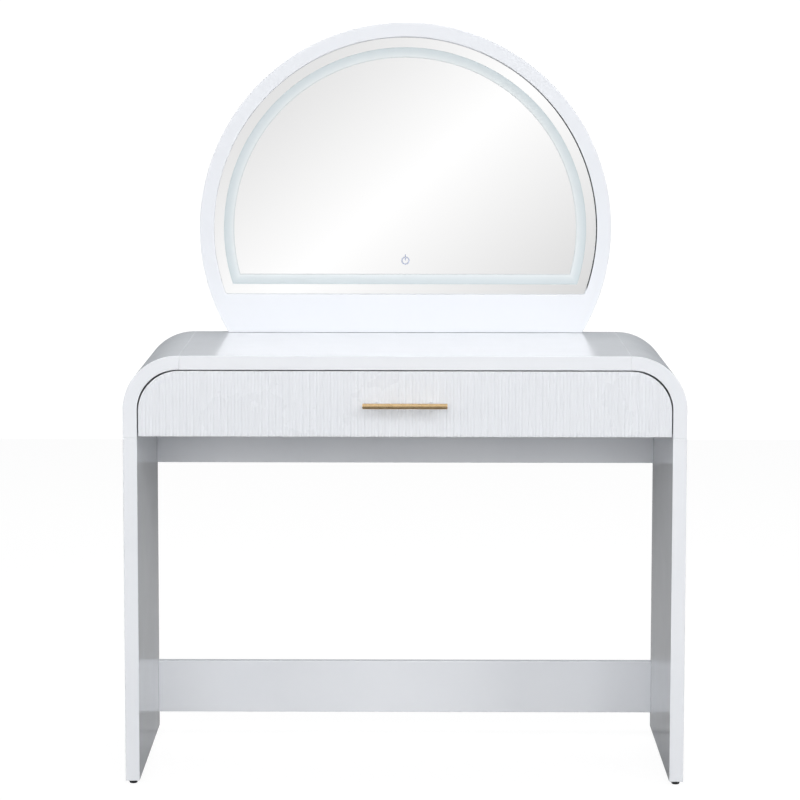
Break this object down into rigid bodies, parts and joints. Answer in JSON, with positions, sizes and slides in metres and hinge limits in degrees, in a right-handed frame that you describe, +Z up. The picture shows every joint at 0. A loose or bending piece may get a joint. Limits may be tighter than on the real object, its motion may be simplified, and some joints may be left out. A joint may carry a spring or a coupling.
{
  "type": "vanity table with mirror",
  "caption": "Vanity table with curved corners, a reeded drawer on ball-bearing slides and a lit half-round mirror standing on its back edge.",
  "frame": {"origin": "on the floor, under the middle of the whole object's box", "axes": "+X to the right as seen from the front, +Y from the front to the back, +Z up"},
  "size_m": [1, 0.4354, 1.3625],
  "materials": {
    "white_lacquer": "satin white lacquer on board",
    "beech_dowel": "plain turned beech",
    "zinc_casting": "die-cast, dull",
    "plated_screw": "zinc plated",
    "rail_steel": "zinc plated, rolled",
    "ball_steel": "polished balls in a stamped cage",
    "plate_steel": "zinc plated",
    "glide_plastic": "matte black",
    "gold_brushed": "brushed gold",
    "satin_nickel": "satin nickel plated",
    "mirror_silver": "silvered glass with a frosted band",
    "black_foam": "foam tape and pads",
    "frosted_acrylic": "frosted, lets light through",
    "led_tape": "white light strip",
    "led_lens": "yellow lens",
    "circuit_green": "solder mask",
    "black_casing": "moulded black",
    "red_wire": "insulated wire",
    "grey_board": "thin grey-faced board"
  },
  "bodies": {
    "table": {"left_side_panel": "white_lacquer", "right_side_panel": "white_lacquer", "left_corner_panel": "white_lacquer", "right_corner_panel": "white_lacquer", "top_panel": "white_lacquer", "back_panel": "white_lacquer", "lower_stretcher": "white_lacquer", "cam_caps": "white_lacquer", "mirror_frame": "white_lacquer", "corner_dowels": "beech_dowel", "top_dowels": "beech_dowel", "cam_locks": "zinc_casting", "cam_bolts": "plated_screw", "foot_nails": "plated_screw", "cabinet_rail_screws": "plated_screw", "cover_screws": "plated_screw", "plate_screws": "plated_screw", "left_cabinet_rail": "rail_steel", "left_mirror_plate": "plate_steel", "front_left_foot": "glide_plastic", "back_left_foot": "glide_plastic", "right_cabinet_rail": "rail_steel", "right_mirror_plate": "plate_steel", "front_right_foot": "glide_plastic", "back_right_foot": "glide_plastic", "mirror_glass": "mirror_silver", "glass_tape": "black_foam", "light_diffuser": "frosted_acrylic", "led_strip": "led_tape", "led_chips": "led_lens", "touch_sensor": "circuit_green", "power_module": "black_casing", "mirror_wires": "red_wire", "dc_inlet": "black_casing", "mirror_back_cover": "grey_board", "mirror_pads": "black_foam"},
    "drawer": {"drawer_front": "white_lacquer", "left_drawer_side": "white_lacquer", "right_drawer_side": "white_lacquer", "drawer_back": "white_lacquer", "drawer_bottom": "white_lacquer", "drawer_cam_locks": "zinc_casting", "drawer_cam_bolts": "plated_screw", "drawer_back_screws": "plated_screw", "handle_bar": "gold_brushed", "handle_posts": "satin_nickel", "handle_screws": "plated_screw", "left_drawer_rail": "rail_steel", "right_drawer_rail": "rail_steel", "drawer_rail_screws": "plated_screw"},
    "left_middle": {"left_middle_rail": "rail_steel"},
    "left_outer_cage": {"left_outer_ball_cage": "ball_steel"},
    "left_inner_cage": {"left_inner_ball_cage": "ball_steel"},
    "right_middle": {"right_middle_rail": "rail_steel"},
    "right_outer_cage": {"right_outer_ball_cage": "ball_steel"},
    "right_inner_cage": {"right_inner_ball_cage": "ball_steel"}
  },
  "joints": [
    {"name": "drawer_slide", "type": "slide", "parent": "table", "child": "drawer", "axis": [0, -1, 0], "range_m": [0, 0.3]},
    {"name": "left_middle_slide", "type": "slide", "parent": "table", "child": "left_middle", "axis": [0, -1, 0], "range_m": [0, 0.15]},
    {"name": "left_outer_cage_slide", "type": "slide", "parent": "table", "child": "left_outer_cage", "axis": [0, -1, 0], "range_m": [0, 0.075]},
    {"name": "left_inner_cage_slide", "type": "slide", "parent": "table", "child": "left_inner_cage", "axis": [0, -1, 0], "range_m": [0, 0.225]},
    {"name": "right_middle_slide", "type": "slide", "parent": "table", "child": "right_middle", "axis": [0, -1, 0], "range_m": [0, 0.15]},
    {"name": "right_outer_cage_slide", "type": "slide", "parent": "table", "child": "right_outer_cage", "axis": [0, -1, 0], "range_m": [0, 0.075]},
    {"name": "right_inner_cage_slide", "type": "slide", "parent": "table", "child": "right_inner_cage", "axis": [0, -1, 0], "range_m": [0, 0.225]}
  ],
  "couplings": [
    {"joint": "left_middle_slide", "follows": "drawer_slide", "ratio": 0.5},
    {"joint": "left_outer_cage_slide", "follows": "drawer_slide", "ratio": 0.25},
    {"joint": "left_inner_cage_slide", "follows": "drawer_slide", "ratio": 0.75},
    {"joint": "right_middle_slide", "follows": "drawer_slide", "ratio": 0.5},
    {"joint": "right_outer_cage_slide", "follows": "drawer_slide", "ratio": 0.25},
    {"joint": "right_inner_cage_slide", "follows": "drawer_slide", "ratio": 0.75}
  ]
}
